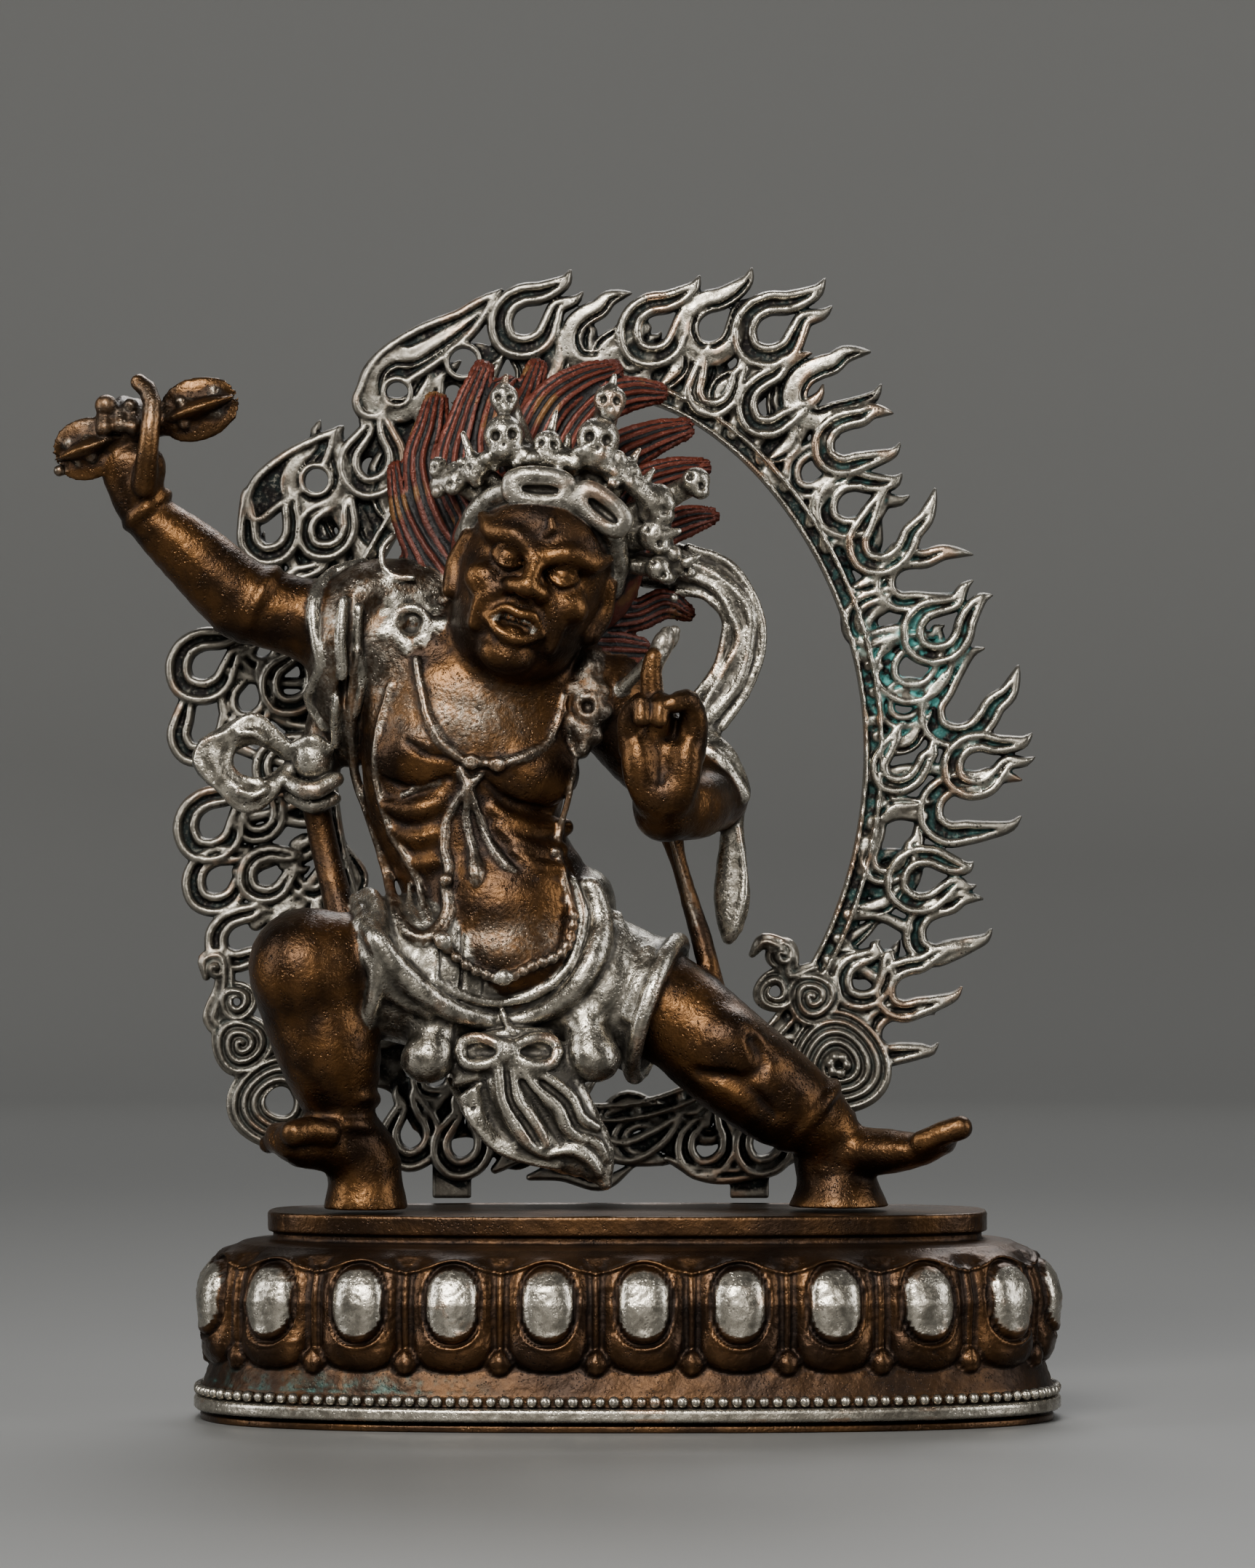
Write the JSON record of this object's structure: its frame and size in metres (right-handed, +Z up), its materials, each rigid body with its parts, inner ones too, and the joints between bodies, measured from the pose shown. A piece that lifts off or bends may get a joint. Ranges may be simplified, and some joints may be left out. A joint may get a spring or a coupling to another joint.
{
  "type": "vajrapani statue",
  "caption": "Small cast statuette of a wrathful guardian lunging on an oval lotus plinth, with a raised thunderbolt sceptre and an openwork halo of flames behind.",
  "frame": {"origin": "middle of the underside of the base sheet", "axes": "+Z up, the figure faces -Y, +X to the viewer's right"},
  "size_m": [0.087, 0.0364, 0.0999],
  "materials": {
    "patinated_copper": "brown patina over cast copper, silver-washed dress and jewels, red-painted hair",
    "silver_plate": "silver wash with black in the hollows and some green patina",
    "dark_copper": "dark brown patina, silver-washed petal bosses, bead row and foot band",
    "copper_sheet": "thin copper sheet closing the plinth from below"
  },
  "bodies": {
    "root": {"figure": "patinated_copper", "flame_halo": "silver_plate", "plinth": "dark_copper", "base_sheet": "copper_sheet"}
  },
  "joints": []
}
